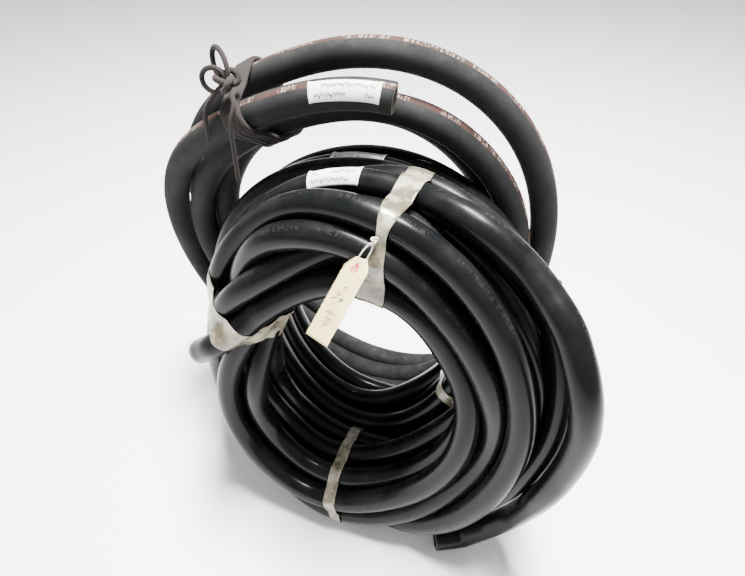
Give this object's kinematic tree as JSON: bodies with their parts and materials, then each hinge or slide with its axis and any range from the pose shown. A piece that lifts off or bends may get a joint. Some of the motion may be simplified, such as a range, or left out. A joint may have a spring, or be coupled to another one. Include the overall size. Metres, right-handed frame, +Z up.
{
  "type": "hydraulic hose assembly",
  "caption": "Stack of three tied coils of cut hydraulic hose standing on edge, with tape, twine, paper labels and a hanging tag.",
  "frame": {"origin": "on the floor under the middle of the stack's bounding box", "axes": "+Z up; -Y towards the front coil's face, along the coils' common axis; +X to the right seen from the front"},
  "size_m": [0.6113, 0.3854, 0.5903],
  "materials": {
    "smooth_cover": "satin black synthetic rubber hose cover",
    "cloth_cover": "matte black hose cover with a cloth-wrap texture",
    "inner_tube": "black nitrile rubber",
    "steel_wire": "brass-coated steel wire",
    "label_paper": "white paper label",
    "clear_tape": "aged translucent packing tape",
    "twine": "maroon twisted cord",
    "manila": "manila card",
    "red_patch": "red fibre ring",
    "tag_string": "white cotton string"
  },
  "bodies": {
    "back": {"back_coil": "cloth_cover", "back_label": "label_paper", "back_label_end_cover": "cloth_cover", "back_label_end_inner_spirals": "steel_wire", "back_label_end_liner": "inner_tube", "back_label_end_outer_spirals": "steel_wire", "back_label_run": "cloth_cover", "back_tail_end_cover": "cloth_cover", "back_tail_end_inner_spirals": "steel_wire", "back_tail_end_liner": "inner_tube", "back_tail_end_outer_spirals": "steel_wire", "back_tail_run": "cloth_cover", "twine_knot": "twine", "twine_left_ear": "twine", "twine_long_tail": "twine", "twine_right_ear": "twine", "twine_short_tail": "twine", "twine_wraps": "twine"},
    "middle": {"middle_coil": "smooth_cover", "middle_label": "label_paper", "middle_left_tape": "clear_tape", "middle_lower_end_cover": "smooth_cover", "middle_lower_end_inner_braid": "steel_wire", "middle_lower_end_liner": "inner_tube", "middle_lower_end_outer_braid": "steel_wire", "middle_lower_run": "smooth_cover", "middle_right_tape": "clear_tape", "middle_upper_end_cover": "smooth_cover", "middle_upper_end_inner_braid": "steel_wire", "middle_upper_end_liner": "inner_tube", "middle_upper_end_outer_braid": "steel_wire", "middle_upper_run": "smooth_cover"},
    "front": {"front_bottom_tape": "clear_tape", "front_coil": "smooth_cover", "front_free_end_cover": "smooth_cover", "front_free_end_inner_braid": "steel_wire", "front_free_end_liner": "inner_tube", "front_free_end_outer_braid": "steel_wire", "front_free_run": "smooth_cover", "front_label": "label_paper", "front_left_tape": "clear_tape", "front_tail": "smooth_cover", "front_tail_end_cover": "smooth_cover", "front_tail_end_inner_braid": "steel_wire", "front_tail_end_liner": "inner_tube", "front_tail_end_outer_braid": "steel_wire", "front_top_tape": "clear_tape", "tag_knot": "tag_string"},
    "tag_string": {"tag_string": "tag_string"},
    "tag_card": {"tag_card": "manila", "tag_patch_back": "red_patch", "tag_patch_front": "red_patch"}
  },
  "joints": [
    {"name": "middle_pull", "type": "slide", "parent": "back", "child": "middle", "axis": [0, -1, 0], "range_m": [0, 0.3]},
    {"name": "front_pull", "type": "slide", "parent": "middle", "child": "front", "axis": [0, -1, 0], "range_m": [0, 0.3]},
    {"name": "tag_swing", "type": "hinge", "parent": "front", "child": "tag_string", "pos_m": [0.0775, -0.1105, 0.4818], "axis": [-0.9736, 0.2283, 0], "range_deg": [-2, 80]},
    {"name": "tag_twist", "type": "hinge", "parent": "tag_string", "child": "tag_card", "pos_m": [0.06694, -0.12805, 0.45881], "axis": [-0.178, -0.7591, -0.6261], "range_deg": [-25, 25]}
  ]
}
